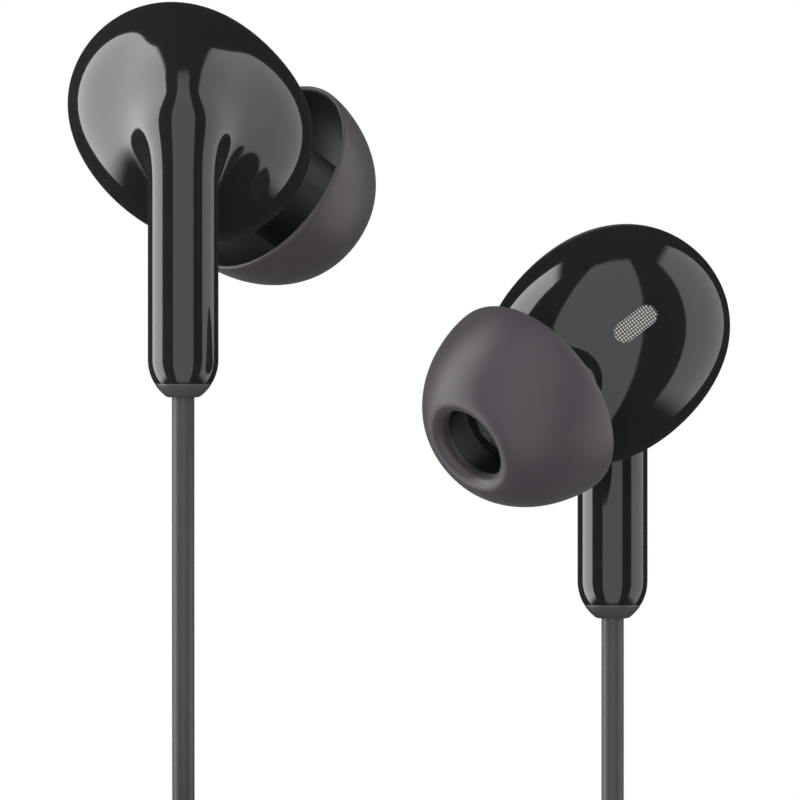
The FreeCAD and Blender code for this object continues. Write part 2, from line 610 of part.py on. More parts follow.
doc.recompute()
for thing in doc.Objects:
    if "Invalid" in thing.State or "Error" in thing.State:
        raise RuntimeError(f"{thing.Name} of {thing.Label} could not be built: {thing.State}")
sub_parts = [thing for thing in doc.Objects
             if thing.TypeId in ("PartDesign::Body", "Part::Feature", "Part::Box")]
for part in sub_parts:
    if part.Shape.isNull() or not part.Shape.isValid():
        raise RuntimeError(f"{part.Label} has no valid shape")
for part in sub_parts:
    part.Shape.exportStep(f"parts/{part.Label}.step")
print(len(sub_parts), "sub-parts written")
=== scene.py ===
import json
import math

import bpy
import numpy as np
from mathutils import Matrix, Vector

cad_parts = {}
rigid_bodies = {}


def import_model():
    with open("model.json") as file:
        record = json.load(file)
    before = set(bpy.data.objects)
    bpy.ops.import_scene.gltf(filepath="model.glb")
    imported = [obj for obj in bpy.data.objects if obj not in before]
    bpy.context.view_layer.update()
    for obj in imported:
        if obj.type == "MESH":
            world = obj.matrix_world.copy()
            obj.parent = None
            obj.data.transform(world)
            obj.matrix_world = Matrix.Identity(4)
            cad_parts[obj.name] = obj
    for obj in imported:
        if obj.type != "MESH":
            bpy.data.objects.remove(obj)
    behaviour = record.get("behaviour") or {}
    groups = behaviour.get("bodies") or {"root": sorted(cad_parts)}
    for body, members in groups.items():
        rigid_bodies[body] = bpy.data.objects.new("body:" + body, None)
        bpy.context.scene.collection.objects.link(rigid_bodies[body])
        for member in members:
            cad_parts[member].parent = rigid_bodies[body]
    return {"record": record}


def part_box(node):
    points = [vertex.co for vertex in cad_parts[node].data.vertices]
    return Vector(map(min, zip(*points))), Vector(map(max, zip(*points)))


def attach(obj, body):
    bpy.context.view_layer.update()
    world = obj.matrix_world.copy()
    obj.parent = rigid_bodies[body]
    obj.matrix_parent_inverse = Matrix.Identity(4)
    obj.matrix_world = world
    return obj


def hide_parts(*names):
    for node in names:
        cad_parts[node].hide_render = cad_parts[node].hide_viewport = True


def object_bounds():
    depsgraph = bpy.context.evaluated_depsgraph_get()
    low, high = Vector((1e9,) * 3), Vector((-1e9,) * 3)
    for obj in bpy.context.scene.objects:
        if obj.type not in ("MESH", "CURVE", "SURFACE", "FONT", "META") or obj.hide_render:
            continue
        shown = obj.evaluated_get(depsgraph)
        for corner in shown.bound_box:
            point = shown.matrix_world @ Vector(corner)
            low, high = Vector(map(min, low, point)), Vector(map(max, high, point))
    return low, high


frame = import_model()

MM = 0.001
cad = bpy.data.objects
cad_box = [list(corner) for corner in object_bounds()]

# ---- Camera ---------------------------------------------------------------------------------------------
# A very long lens stands far in front, level with the buds, so that neither bud shows perspective.
# Its middle lies between the two stems.
VIEW_WIDTH = 51.6 * MM
camera_data = bpy.data.cameras.new("camera")
camera_data.lens = 1000.0
camera_data.sensor_width = 36.0
distance = VIEW_WIDTH * camera_data.lens / camera_data.sensor_width
camera_data.clip_start = distance * 0.5
camera_data.clip_end = distance * 3
camera = bpy.data.objects.new("camera", camera_data)
bpy.context.scene.collection.objects.link(camera)
view_middle = Vector((4.505, -8.7, -11.28)) * MM
camera.location = view_middle + Vector((0, -distance, 0))
camera.rotation_euler = (math.radians(90), 0, 0)
bpy.context.scene.camera = camera
bpy.context.scene.view_settings.view_transform = "Standard"

# ---- Rear shells ----------------------------------------------------------------------------------------
# The outer half of each bud and its stem in one moulding of piano-black ABS, as glossy as the polished
# steel mould. An oval bowl swells out into a blunt ridge, and the ridge runs on down as the round stem.
# It snaps and is glued onto the front shell along the oval's edge.
bush_low, bush_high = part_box("left_stem_bush")
STEM_SET = 7.0 * MM
# a bud's own origin is at the stem's lower end, in the plane where its two shells meet
LEFT_BUD = Matrix.Translation(((bush_low[0] + bush_high[0]) / 2,
                               (bush_low[1] + bush_high[1]) / 2 + STEM_SET, bush_low[2]))
right_ear = next(mount for mount in frame["record"]["mounts"] if mount["name"] == "right_ear")
RIGHT_FROM_LEFT = Matrix.Translation(right_ear["pos_m"]) @ Matrix.Rotation(math.pi, 4, "Z")

OVAL_MIDDLE = (0.265, 17.82)      # across and up, in millimetres like every size of the skins
OVAL_LEAN = math.radians(40.7)
OVAL_LONG, OVAL_SHORT = 8.17, 6.99
REAR_DEPTH, FRONT_DEPTH = 5.84, 5.3
FRONT_SLANT = 0.32        # how far the front bowl's crown leans over towards the nozzle for its height
STEM_RADIUS, STEM_ROUND_UP, STEM_ROUND_HIGH = 2.27, 2.4, 2.6
STEM_TOP = 17.5
LEAN_START, LEAN_TIGHTER = 13.0, 0.001
SEAM_HEIGHT = 0.84
PARTING_GAP = 0.002
REAR_WALL, REAR_GRAIN = 0.52, 0.24      # the wall, and the spacing of the skin's points


def deselected():
    """Leaves edit mode and deselects everything."""
    if bpy.context.object and bpy.context.object.mode == "EDIT":
        bpy.ops.object.mode_set(mode="OBJECT")
    bpy.ops.object.select_all(action="DESELECT")


def picked(piece):
    """Selects one piece alone."""
    deselected()
    piece.select_set(True)
    bpy.context.view_layer.objects.active = piece


def with_modifier(piece, kind, **settings):
    """Adds a modifier, sets it and applies it."""
    picked(piece)
    modifier = piece.modifiers.new(kind.title(), kind)
    for name, setting in settings.items():
        setattr(modifier, name, setting)
    bpy.ops.object.modifier_apply(modifier=modifier.name)


def joined(name, pieces):
    """Joins pieces into the first one, applies its place and names it."""
    picked(pieces[0])
    for piece in pieces:
        piece.select_set(True)
    bpy.ops.object.join()
    bpy.ops.object.transform_apply(location=True, rotation=True, scale=True)
    pieces[0].name = pieces[0].data.name = name
    return pieces[0]


def melted(a, b, reach):
    """The smooth union of two distances: the skins run into each other over a fillet of that reach."""
    near = np.maximum(reach - np.abs(a - b), 0) / reach
    return np.minimum(a, b) - near ** 3 * reach / 6


def ellipsoid(x, y, z, radii):
    """The rough distance to an ellipsoid about the origin. The radii may vary from point to point."""
    near = np.sqrt(sum((v / r) ** 2 for v, r in zip((x, y, z), radii))) + 1e-9
    far = np.sqrt(sum((v / r ** 2) ** 2 for v, r in zip((x, y, z), radii))) + 1e-9
    return near * (near - 1) / far


def bowl_skin(spots):
    """The egg-shaped oval of both shells, blunter at its two ends and fuller towards the nozzle."""
    x = spots[:, 0] - OVAL_MIDDLE[0]
    z = spots[:, 2] - OVAL_MIDDLE[1]
    along = x * math.cos(OVAL_LEAN) - z * math.sin(OVAL_LEAN)
    across = x * math.sin(OVAL_LEAN) + z * math.cos(OVAL_LEAN)
    along = along - FRONT_SLANT * np.maximum(spots[:, 1], 0)
    place = np.clip(along / OVAL_LONG, -1.2, 1.2)
    short = OVAL_SHORT * (1 + 0.036 * place + 0.10 * place ** 2)
    depth = np.where(spots[:, 1] < 0, REAR_DEPTH, FRONT_DEPTH)
    return ellipsoid(along, spots[:, 1], across, (OVAL_LONG, depth, short))


def stem_skin(spots):
    """The round stem: an egg-shaped lower end, then a run that leans back into the bowl near its top."""
    x, z = spots[:, 0], spots[:, 2]
    lean = np.maximum(np.minimum(z, STEM_TOP) - LEAN_START, 0)
    y = spots[:, 1] + STEM_SET / MM - LEAN_TIGHTER * lean ** 3
    end = ellipsoid(x, y, np.minimum(z - STEM_ROUND_UP, 0), (STEM_RADIUS, STEM_RADIUS, STEM_ROUND_HIGH))
    above = np.maximum(z - STEM_TOP, 0)
    run = np.sqrt(x * x + y * y + above * above) - STEM_RADIUS
    return np.where(z < STEM_ROUND_UP, end, run)


RIDGE_MIDDLE = 17.8
RIDGE_HALF_WIDTH, RIDGE_DEPTH, RIDGE_UP, RIDGE_DOWN = 5.17, 8.24, 6.6, 3.5
RIDGE_BROW = 2.35     # 2 would round the ridge's upper end like an egg; more keeps it upright for longer


def ridge_skin(spots):
    """The blunt ridge behind the stem: an egg whose upper end is squared up."""
    x, y = spots[:, 0], spots[:, 1]
    up = spots[:, 2] - RIDGE_MIDDLE
    power = np.where(up > 0, RIDGE_BROW, 2.0)
    reach = np.where(up > 0, RIDGE_UP, RIDGE_DOWN)
    rise = np.abs(up) / reach
    near = np.sqrt((x / RIDGE_HALF_WIDTH) ** 2 + (y / RIDGE_DEPTH) ** 2 + rise ** power) + 1e-9
    far = np.sqrt((x / RIDGE_HALF_WIDTH ** 2) ** 2 + (y / RIDGE_DEPTH ** 2) ** 2
                  + (power / 2 * rise ** (power - 1) / reach) ** 2) + 1e-9
    return near * (near - 1) / far


RIDGE_FILLET, STEM_FILLET = 2.4, 2.5


def rear_skin(spots):
    """The bowl, the ridge and the stem, melted into one."""
    return melted(melted(bowl_skin(spots), ridge_skin(spots), RIDGE_FILLET), stem_skin(spots), STEM_FILLET)


def slope_of(skin, spots):
    """The uphill direction of a skin's distance at each spot."""
    step = 0.01
    return np.stack([(skin(spots + step * axis) - skin(spots - step * axis)) / (2 * step)
                     for axis in np.eye(3)], axis=1)


def settle(piece, skin, rounds):
    """Draws a piece's points onto a skin, and evens out their spacing along it."""
    mesh = piece.data
    spots = np.empty(len(mesh.vertices) * 3)
    mesh.vertices.foreach_get("co", spots)
    spots = spots.reshape(-1, 3) / MM
    ends = np.empty(len(mesh.edges) * 2, dtype=int)
    mesh.edges.foreach_get("vertices", ends)
    first, second = ends.reshape(-1, 2).T
    neighbours = np.bincount(ends, minlength=len(spots))[:, None]
    for _ in range(rounds):
        total = np.zeros_like(spots)
        np.add.at(total, first, spots[second])
        np.add.at(total, second, spots[first])
        pull = total / neighbours - spots
        slope = slope_of(skin, spots)
        steep = (slope ** 2).sum(axis=1, keepdims=True)
        pull -= slope * (pull * slope).sum(axis=1, keepdims=True) / steep
        spots += pull * 0.5
        for _ in range(2):
            slope = slope_of(skin, spots)
            spots -= slope * skin(spots)[:, None] / (slope ** 2).sum(axis=1, keepdims=True)
    mesh.vertices.foreach_set("co", (spots * MM).ravel())
    mesh.update()


def cut_away(piece, place, normal):
    """Cuts off the side that a plane's normal points to, and leaves the cut open."""
    picked(piece)
    bpy.ops.object.mode_set(mode="EDIT")
    bpy.ops.mesh.select_all(action="SELECT")
    bpy.ops.mesh.bisect(plane_co=place, plane_no=normal, clear_outer=True, threshold=0.0001 * MM)
    bpy.ops.object.mode_set(mode="OBJECT")


def oval_ball(middle, radii, turn):
    """A sphere primitive at its size and place in a bud: turn is its lean towards the nozzle."""
    deselected()
    bpy.ops.mesh.primitive_uv_sphere_add(segments=48, ring_count=24, radius=MM, scale=radii,
                                         location=Vector(middle) * MM, rotation=(0, turn, 0))
    return bpy.context.object


bowl = oval_ball((OVAL_MIDDLE[0], 0, OVAL_MIDDLE[1]), (OVAL_LONG, REAR_DEPTH, OVAL_SHORT), OVAL_LEAN)
ridge = oval_ball((0, 0, RIDGE_MIDDLE), (RIDGE_HALF_WIDTH, RIDGE_DEPTH, RIDGE_UP), 0)
deselected()
bpy.ops.mesh.primitive_cylinder_add(vertices=48, radius=STEM_RADIUS * MM, depth=STEM_TOP * MM,
                                    location=(0, -STEM_SET, STEM_TOP / 2 * MM))
left_rear = joined("left_rear_moulding", [bpy.context.object, bowl, ridge])
with_modifier(left_rear, "REMESH", mode="VOXEL", voxel_size=REAR_GRAIN * MM)
settle(left_rear, rear_skin, 10)
cut_away(left_rear, (0, -PARTING_GAP * MM, 0), (0, 1, 0))
cut_away(left_rear, (0, 0, SEAM_HEIGHT * MM), (0, 0, -1))
with_modifier(left_rear, "SOLIDIFY", thickness=REAR_WALL * MM, offset=-1, use_even_offset=False)


def add_node(tree, kind, settings=None, links=None):
    """Adds a shader node, sets its properties or sockets and links sockets from other nodes."""
    node = tree.nodes.new(kind)
    for name, setting in (settings or {}).items():
        if name in node.inputs:
            node.inputs[name].default_value = setting
        else:
            setattr(node, name, setting)
    for name, source in (links or {}).items():
        tree.links.new(source, node.inputs[name])
    return node


def srgb(code):
    """A linear colour from a six-figure sRGB hex value."""
    parts = [int(code[i:i + 2], 16) / 255 for i in (0, 2, 4)]
    linear = [p / 12.92 if p <= 0.04045 else ((p + 0.055) / 1.055) ** 2.4 for p in parts]
    return (*linear, 1.0)


def new_material(name, **sockets):
    """A new material with constant values set on its shader's own sockets, its tree and its shader."""
    material = bpy.data.materials.new(name)
    material.use_nodes = True
    shader = material.node_tree.nodes["Principled BSDF"]
    for socket, setting in sockets.items():
        shader.inputs[socket.replace("_", " ")].default_value = setting
    return material, material.node_tree, shader


def patchy(tree, shader, size, dark, light, smooth, rough, relief):
    """Clouds of the given size in millimetres that vary a shader's colour and roughness, and a fine relief
    a tenth of that size: relief is its height in millimetres."""
    place = add_node(tree, "ShaderNodeTexCoord").outputs["Object"]
    clouds = add_node(tree, "ShaderNodeTexNoise", {"Scale": 1 / (size * MM), "Detail": 3.0},
                      {"Vector": place})
    colour = add_node(tree, "ShaderNodeMix", {"data_type": "RGBA"}, {"Factor": clouds.outputs["Fac"]})
    colour.inputs[6].default_value = srgb(dark)
    colour.inputs[7].default_value = srgb(light)
    tree.links.new(colour.outputs[2], shader.inputs["Base Color"])
    gloss = add_node(tree, "ShaderNodeMapRange", {"To Min": smooth, "To Max": rough},
                     {"Value": clouds.outputs["Fac"]})
    tree.links.new(gloss.outputs["Result"], shader.inputs["Roughness"])
    grain = add_node(tree, "ShaderNodeTexNoise", {"Scale": 10 / (size * MM), "Detail": 2.0},
                     {"Vector": place})
    bump = add_node(tree, "ShaderNodeBump", {"Distance": relief * MM}, {"Height": grain.outputs["Fac"]})
    tree.links.new(bump.outputs["Normal"], shader.inputs["Normal"])


# Piano-black ABS, moulded against a polished steel face: sharp reflections over near black, dulled here
# and there by handling, with ripples of a hundredth of a millimetre or less.
piano_black, tree, shader = new_material("piano_black_abs", IOR=1.5)
patchy(tree, shader, 4.0, "1f1f21", "232325", 0.05, 0.09, 0.0006)


def paint(piece, material):
    """Gives a piece one material and smooth shading between its sharp edges."""
    piece.data.materials.clear()
    piece.data.materials.append(material)
    picked(piece)
    bpy.ops.object.shade_smooth_by_angle(angle=math.radians(35))


def placed(piece, place):
    """Moves a piece's mesh to its place and leaves its object at the origin."""
    piece.data.transform(place)
    piece.data.update()


def right_copy(piece, name):
    """The same piece of the right bud, with a mesh of its own."""
    twin = bpy.data.objects.new(name, piece.data.copy())
    twin.data.name = name
    bpy.context.scene.collection.objects.link(twin)
    placed(twin, RIGHT_FROM_LEFT)
    return twin


def stands_for(piece, node, body="earphones"):
    """The piece hides that node and rides with its body."""
    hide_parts(node)
    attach(piece, body)


paint(left_rear, piano_black)
placed(left_rear, LEFT_BUD)
right_rear = right_copy(left_rear, "right_rear_moulding")
stands_for(left_rear, "left_rear_shell")
stands_for(right_rear, "right_rear_shell")

# ---- Front shells ---------------------------------------------------------------------------------------
# The half that faces the ear, in the same gloss ABS: a shallower bowl with a neck that leaves it forwards
# and down, the ribbed nozzle that the ear tip is pushed onto, and a slot for the vent.
NOZZLE = Vector(frame["record"]["mounts"][0]["axis"])
RIM = np.array([5.55, 5.3, 13.98])      # the middle of the ear tip's rim, in the bud's own millimetres
NECK_START, NECK_END, NECK_WIDE, NECK_SLIM = -5.0, -0.6, 2.95, 2.85
NECK_FILLET, SHOULDER_FILLET, RIB_FILLET = 0.6, 0.5, 0.3
FRONT_WALL, FRONT_GRAIN = 0.62, 0.22
NOZZLE_RADIUS, NOZZLE_END = 2.45, 3.2
RIB_PLACE, RIB_RADIUS, RIB_ROUND = 2.4, 2.3, 0.33
NOZZLE_PLACE = Matrix.Translation(Vector(RIM) * MM) @ NOZZLE.to_track_quat("Z", "Y").to_matrix().to_4x4()
VENT_MIDDLE = (-1.45, 19.09)
VENT_LEAN = math.radians(37)
VENT_LONG, VENT_WIDE, VENT_CUT = 3.4, 1.34, 3.0


def front_skin(spots):
    """The bowl with its tapered neck, and the nozzle with the rib near its end."""
    reach = (spots - RIM) @ np.array(NOZZLE)
    radial = np.linalg.norm(spots - RIM - reach[:, None] * np.array(NOZZLE), axis=1)
    along_neck = np.clip((reach - NECK_START) / (NECK_END - NECK_START), 0, 1)
    neck_radius = NECK_WIDE + (NECK_SLIM - NECK_WIDE) * along_neck
    neck = np.maximum(radial - neck_radius, reach - NECK_END)
    nozzle = radial - NOZZLE_RADIUS
    rib = np.sqrt((radial - RIB_RADIUS) ** 2 + (reach - RIB_PLACE) ** 2) - RIB_ROUND
    head = melted(melted(neck, nozzle, SHOULDER_FILLET), rib, RIB_FILLET)
    return melted(bowl_skin(spots), head, NECK_FILLET)


bowl = oval_ball((OVAL_MIDDLE[0], 0, OVAL_MIDDLE[1]), (OVAL_LONG, FRONT_DEPTH, OVAL_SHORT), OVAL_LEAN)
round_parts = [bowl]
for radius, low, high in ((NECK_SLIM, NECK_START, NECK_END), (NOZZLE_RADIUS, NECK_START, NOZZLE_END + 1.0)):
    deselected()
    bpy.ops.mesh.primitive_cylinder_add(vertices=48, radius=radius * MM, depth=(high - low) * MM,
                                        location=(0, 0, (low + high) / 2 * MM))
    bpy.ops.object.transform_apply(location=True)
    placed(bpy.context.object, NOZZLE_PLACE)
    round_parts.append(bpy.context.object)
left_front = joined("left_front_moulding", round_parts)
with_modifier(left_front, "REMESH", mode="VOXEL", voxel_size=FRONT_GRAIN * MM)
settle(left_front, front_skin, 8)
cut_away(left_front, (0, PARTING_GAP * MM, 0), (0, -1, 0))
cut_away(left_front, NOZZLE_PLACE @ Vector((0, 0, NOZZLE_END * MM)), NOZZLE)
with_modifier(left_front, "SOLIDIFY", thickness=FRONT_WALL * MM, offset=-1, use_even_offset=False)

# the vent's slot is cut straight through the wall, square to the bowl where it lies
vent_spot = np.array([[VENT_MIDDLE[0], FRONT_DEPTH, VENT_MIDDLE[1]]])
for _ in range(20):
    vent_spot[:, 1] -= bowl_skin(vent_spot) * 0.8
VENT_OUT = Vector(slope_of(bowl_skin, vent_spot)[0]).normalized()
along = Vector((math.cos(VENT_LEAN), 0, -math.sin(VENT_LEAN)))
along = (along - VENT_OUT * along.dot(VENT_OUT)).normalized()
VENT_PLACE = Matrix.Translation(Vector(vent_spot[0]) * MM) @ Matrix(
    (along, VENT_OUT.cross(along), VENT_OUT)).transposed().to_4x4()


def slot_cutter():
    """A slot-shaped prism about the vent: a cylinder whose one half is moved along."""
    straight = (VENT_LONG - VENT_WIDE) * MM
    deselected()
    bpy.ops.mesh.primitive_cylinder_add(vertices=48, radius=VENT_WIDE / 2 * MM, depth=VENT_CUT * MM)
    cutter = bpy.context.object
    for vertex in cutter.data.vertices:
        vertex.co.x += math.copysign(straight / 2, vertex.co.x + 1e-7)
    placed(cutter, VENT_PLACE)
    return cutter


cutter = slot_cutter()
with_modifier(left_front, "BOOLEAN", operation="DIFFERENCE", object=cutter, solver="EXACT")
bpy.data.objects.remove(cutter)
paint(left_front, piano_black)
placed(left_front, LEFT_BUD)
right_front = right_copy(left_front, "right_front_moulding")
stands_for(left_front, "left_front_shell")
stands_for(right_front, "right_front_shell")

# ---- Vent and nozzle meshes -----------------------------------------------------------------------------
# Plain-woven steel wire cloth, which keeps wax and dust out of the driver: a slot-shaped patch bonded into
# the vent from inside, and a disc at the nozzle's end. Each wire passes over one and under the next.
WIRE_PITCH = 0.19
WIRE_RADIUS = 0.045
CLOTH_MARGIN = 0.04      # how far the vent's cloth reaches under the shell all round
VENT_SET_BACK, NOZZLE_SET_BACK = 0.13, 0.15


def wire_cloth(name, half_chord, surface, half_long, half_wide):
    """A patch of woven wires: half_chord gives how far a wire reaches each way at a distance from the
    middle, for each direction, and surface gives the cloth's place at two coordinates."""
    curve = bpy.data.curves.new(name, "CURVE")
    curve.dimensions = "3D"
    curve.bevel_depth = WIRE_RADIUS * MM
    curve.bevel_resolution = 1
    for direction, half in ((0, half_wide), (1, half_long)):
        count = int(half / WIRE_PITCH)
        for number in range(-count, count + 1):
            offset = number * WIRE_PITCH
            reach = half_chord(direction, abs(offset))
            crossings = int(reach / WIRE_PITCH * 2)
            spline = curve.splines.new("POLY")
            spline.points.add(2 * crossings)
            for spot, step in zip(spline.points, range(-crossings, crossings + 1)):
                ahead = step * WIRE_PITCH / 2
                over = math.cos(math.pi * (step / 2 + number + direction)) * WIRE_RADIUS * 0.95
                place = surface(ahead, offset, over) if direction == 0 else surface(offset, ahead, over)
                spot.co = (*place, 1)
    deselected()
    cloth = bpy.data.objects.new(name, curve)
    bpy.context.scene.collection.objects.link(cloth)
    picked(cloth)
    bpy.ops.object.convert(target="MESH")
    return cloth


def vent_chord(direction, offset):
    """Half the slot's opening along or across it, with a margin that lies under the shell."""
    end = VENT_WIDE / 2
    straight = VENT_LONG / 2 - end
    if direction == 0:
        return straight + math.sqrt(max(end * end - offset * offset, 0)) + CLOTH_MARGIN
    past = max(offset - straight, 0)
    return math.sqrt(max(end * end - past * past, 0)) + CLOTH_MARGIN


def on_vent(across, along_wide, height):
    """A point of the cloth, which lies just below the bowl's skin."""
    base = VENT_PLACE @ (Vector((across, along_wide, 0)) * MM)
    spot = np.array([list(base / MM)])
    spot -= np.array(VENT_OUT) * bowl_skin(spot)[:, None]
    return (Vector(spot[0]) + VENT_OUT * (height - VENT_SET_BACK)) * MM


def on_nozzle_end(across, up, height):
    """A point of the disc that closes the nozzle."""
    return NOZZLE_PLACE @ (Vector((across, up, NOZZLE_END - NOZZLE_SET_BACK + height)) * MM)


NOZZLE_BORE = 1.85
left_vent = wire_cloth("left_vent_cloth", vent_chord, on_vent, VENT_LONG / 2, VENT_WIDE / 2)
left_nozzle_cloth = wire_cloth("left_nozzle_cloth",
                               lambda direction, offset: math.sqrt(max(NOZZLE_BORE ** 2 - offset ** 2, 0)),
                               on_nozzle_end, NOZZLE_BORE, NOZZLE_BORE)

# Blackened stainless steel wire: its oxide skin is a dull dark grey with hardly a metal's glint.
wire_steel, tree, shader = new_material("blackened_steel_wire", Metallic=0.2)
patchy(tree, shader, 0.4, "58585a", "646466", 0.55, 0.7, 0.002)
for cloth, node in ((left_vent, "vent_mesh"), (left_nozzle_cloth, "nozzle_mesh")):
    paint(cloth, wire_steel)
    placed(cloth, LEFT_BUD)
    stands_for(cloth, "left_" + node)
    twin = right_copy(cloth, cloth.name.replace("left", "right"))
    stands_for(twin, "right_" + node)

# ---- Ear tips -------------------------------------------------------------------------------------------
# Soft silicone: a thin plum-grey dome that turns in at its mouth, in a thick round lip, and the tube inside
# it that grips the nozzle; its inner faces are painted black as painted shade. A fine matt finish spreads
# every highlight.
TIP_OUTLINE = [      # radius and distance from the rim's middle along the nozzle, once round the wall
    (2.74, -0.45), (2.74, 1.5), (2.74, 3.4), (2.60, 4.5), (2.44, 5.10), (2.46, 5.55), (2.72, 5.86),
    (3.12, 5.96), (3.60, 5.84), (4.20, 5.48), (4.90, 4.80), (5.55, 3.93), (6.11, 2.90), (6.53, 1.74),
    (6.80, 0.58), (6.88, -0.32), (6.83, -0.54), (6.66, -0.60), (6.50, -0.46), (6.42, 0.40), (6.17, 1.62),
    (5.76, 2.72), (5.22, 3.70), (4.60, 4.48), (4.00, 4.97), (3.54, 5.00), (3.34, 4.62), (3.30, 3.60),
    (3.30, 1.50), (3.30, -0.30), (3.22, -0.45), (2.98, -0.50), (2.80, -0.50),
]


def spun(name, outline, steps, place, closed=True):
    """A round piece: its outline is spun about the Z axis and its doubles are merged. An outline that
    isn't closed starts and ends on the axis."""
    mesh = bpy.data.meshes.new(name)
    count = len(outline)
    edges = [(i, (i + 1) % count) for i in range(count if closed else count - 1)]
    mesh.from_pydata([(radius * MM, 0, height * MM) for radius, height in outline], edges, [])
    piece = bpy.data.objects.new(name, mesh)
    bpy.context.scene.collection.objects.link(piece)
    picked(piece)
    bpy.ops.object.mode_set(mode="EDIT")
    bpy.ops.mesh.select_all(action="SELECT")
    bpy.ops.mesh.spin(steps=steps, angle=2 * math.pi, center=(0, 0, 0), axis=(0, 0, 1))
    bpy.ops.mesh.select_all(action="SELECT")
    bpy.ops.mesh.remove_doubles(threshold=0.001 * MM)
    bpy.ops.mesh.normals_make_consistent(inside=False)
    bpy.ops.object.mode_set(mode="OBJECT")
    placed(piece, place)
    return piece


left_tip = spun("left_silicone_tip", TIP_OUTLINE, 64, NOZZLE_PLACE)
with_modifier(left_tip, "SUBSURF", levels=2, render_levels=2)
MOUTH_HEIGHT, SHADE_PAINT_RADIUS = 4.9, 3.4      # the painted shade ends below the lip
# Pigmented liquid silicone rubber from a fine-blasted mould: a plum grey with a satin bloom and next to no
# mirror reflection.
silicone, tree, shader = new_material("satin_liquid_silicone", IOR=1.41, Sheen_Weight=0.12,
                                      Sheen_Roughness=0.4)
patchy(tree, shader, 3.0, "453f45", "4a444a", 0.40, 0.46, 0.002)
paint(left_tip, silicone)
# Painted shade: a matt near-black rubber on the faces inside the dome and along the bore, which stands for
# the shade inside the tip. It takes in most of the light.
painted_shade_rubber, tree, shader = new_material("black_core_silicone", IOR=1.41)
patchy(tree, shader, 2.0, "0e0e10", "141416", 0.5, 0.6, 0.002)
left_tip.data.materials.append(painted_shade_rubber)
to_nozzle = NOZZLE_PLACE.inverted()
# below the mouth, faces that turn towards the axis or lie within the bore get the black painted shade
for face in left_tip.data.polygons:
    spot = to_nozzle @ face.center / MM
    outward = to_nozzle.to_3x3() @ face.normal
    faces_axis = spot.x * outward.x + spot.y * outward.y < 0
    if spot.z < MOUTH_HEIGHT and (faces_axis or math.hypot(spot.x, spot.y) < SHADE_PAINT_RADIUS):
        face.material_index = 1
placed(left_tip, LEFT_BUD)
right_tip = right_copy(left_tip, "right_silicone_tip")
stands_for(left_tip, "left_eartip", "left_tip")
stands_for(right_tip, "right_eartip", "right_tip")

# ---- Stem bushes ----------------------------------------------------------------------------------------
# A small satin nylon bush closes each stem's lower end and carries on its round. Its spigot is pressed
# into the stem, and the cord comes out through the hole in its nose.
BUSH_OUTLINE = [(0.76, 0.02), (0.84, -0.02), (1.00, 0.0), (1.14, 0.07), (1.36, 0.26), (1.58, 0.49),
                (1.74, 0.70), (1.80, 0.80), (1.80, 0.838), (1.30, 0.838), (1.26, 0.88), (1.26, 2.94),
                (1.20, 3.0), (0.80, 3.0), (0.76, 2.94)]
left_bush = spun("left_nylon_bush", BUSH_OUTLINE, 64, Matrix.Translation((0, -STEM_SET, 0)))
# Moulded nylon with a spark-eroded texture: evenly satin.
satin_nylon, tree, shader = new_material("satin_moulded_nylon", IOR=1.53)
patchy(tree, shader, 0.8, "454446", "4b4a4c", 0.42, 0.52, 0.003)
paint(left_bush, satin_nylon)
placed(left_bush, LEFT_BUD)
right_bush = right_copy(left_bush, "right_nylon_bush")
stands_for(left_bush, "left_stem_bush")
stands_for(right_bush, "right_stem_bush")

# ---- Drivers --------------------------------------------------------------------------------------------
# A ten-millimetre moving-coil driver in each bud: a nickel-plated steel yoke, plate and magnet in a glass-
# filled basket, an enamelled copper coil glued to an amber polyester diaphragm, and a pierced steel cap.
# Two insulated wires run from a crimp in the stem to pads on the little board behind it.
nickel, tree, shader = new_material("nickel_plated_steel", Metallic=1.0)
patchy(tree, shader, 1.2, "b4b0a8", "c2beb6", 0.22, 0.34, 0.002)
glass_nylon, tree, shader = new_material("glass_filled_nylon", IOR=1.53)
patchy(tree, shader, 0.7, "1c1c1e", "262628", 0.5, 0.62, 0.006)
enamelled_copper, tree, shader = new_material("enamelled_copper_wire", Metallic=1.0, Coat_Weight=0.6,
                                              Coat_Roughness=0.15)
patchy(tree, shader, 0.3, "a4562c", "c2703c", 0.25, 0.38, 0.01)
polyester, tree, shader = new_material("amber_polyester_film", IOR=1.6)
patchy(tree, shader, 0.9, "8a6a34", "9c7c40", 0.16, 0.28, 0.004)
solder_mask, tree, shader = new_material("green_solder_mask", IOR=1.52)
patchy(tree, shader, 0.6, "16432a", "1d5234", 0.25, 0.4, 0.004)
aluminium, tree, shader = new_material("rolled_aluminium", Metallic=1.0)
patchy(tree, shader, 0.8, "a9abad", "bfc1c3", 0.3, 0.45, 0.004)
for side in ("left", "right"):
    for part, material in (("driver_basket", glass_nylon), ("driver_yoke", nickel),
                           ("driver_magnet", nickel), ("driver_plate", nickel), ("driver_cap", nickel),
                           ("voice_coil", enamelled_copper), ("diaphragm", polyester),
                           ("terminal_board", solder_mask), ("core_wires", enamelled_copper),
                           ("cord_crimp", aluminium)):
        cad[f"{side}_{part}"].material_slots[0].material = material

# ---- Cords ----------------------------------------------------------------------------------------------
# Round TPE-jacketed cords: a thin one from each bud to the Y moulding and a thicker one on to the plug.
# Each hangs from its bud or moulding, goes round the shared coil layer by layer and comes out again.
BRANCH_DIAMETER = 1.45 * MM
MAIN_DIAMETER = 2.0 * MM
POINTS_PER_TURN = 16
coil_low, coil_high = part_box("main_coil")
coil_middle = Vector(((coil_low[0] + coil_high[0]) / 2, (coil_low[1] + coil_high[1]) / 2, 0))
ring_outer = coil_high[0] - coil_middle.x
MAIN_INNER_TURN = 9.0 * MM
BRANCH_INNER_TURN = 12.325 * MM


def mm(*points):
    """Points given in millimetres, in metres."""
    return [Vector(point) * MM for point in points]


